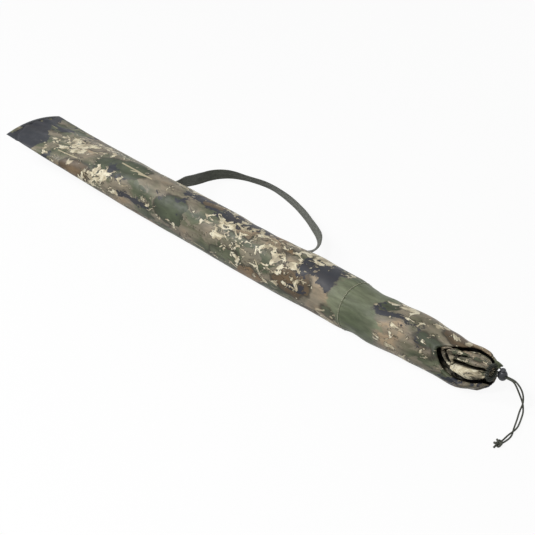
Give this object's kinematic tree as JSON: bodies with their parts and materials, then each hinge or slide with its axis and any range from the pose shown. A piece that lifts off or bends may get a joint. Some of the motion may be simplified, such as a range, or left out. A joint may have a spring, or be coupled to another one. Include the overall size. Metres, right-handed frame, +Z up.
{
  "type": "drawcord carry bag",
  "caption": "Long slim camouflage fabric sleeve bag with a gathered drawcord mouth, a sprung cord lock, a flat bound closed end and a webbing carry handle.",
  "frame": {"origin": "on the floor under the middle of the bag's length, on the flat of its underside", "axes": "+X along the bag to the gathered mouth, +Y to the handle side, +Z up"},
  "size_m": [1.3219, 0.3153, 0.0877],
  "materials": {
    "camo_fabric": "coated polyester cloth with a slight sheen, printed camouflage",
    "binding_tape": "woven binding tape, matt",
    "seam_tape": "woven seam tape, matt",
    "webbing": "ribbed flat webbing, matt",
    "cord": "braided polyester cord",
    "lock_plastic": "moulded, fine satin",
    "spring_steel": "drawn wire"
  },
  "bodies": {
    "bag": {"main_panel": "camo_fabric", "end_binding": "binding_tape", "long_seam_tape": "seam_tape", "collar_seam_tape": "seam_tape", "mouth_collar": "camo_fabric", "drawcord_casing": "camo_fabric", "drawcord_loop": "cord", "drawcord_tail_back": "cord", "drawcord_tail_front": "cord", "drawcord_knot": "cord", "handle_tab_rear": "webbing", "handle_tab_front": "webbing"},
    "handle": {"handle_strap": "webbing"},
    "cord_lock": {"cord_lock_barrel": "lock_plastic", "cord_lock_spring": "spring_steel"},
    "plunger": {"cord_lock_plunger": "lock_plastic"}
  },
  "joints": [
    {"name": "handle_swing", "type": "hinge", "parent": "bag", "child": "handle", "pos_m": [-0.049, 0.04595, 0.04733], "axis": [1, 0, 0], "range_deg": [0, 90]},
    {"name": "lock_slide", "type": "slide", "parent": "bag", "child": "cord_lock", "axis": [1, 0, 0], "range_m": [0, 0.012]},
    {"name": "plunger_press", "type": "slide", "parent": "cord_lock", "child": "plunger", "axis": [0, 0, -1], "range_m": [0, 0.0023], "stiffness_N_per_m": 1500, "springref_m": -0.002, "deforming": ["cord_lock_spring"]}
  ]
}
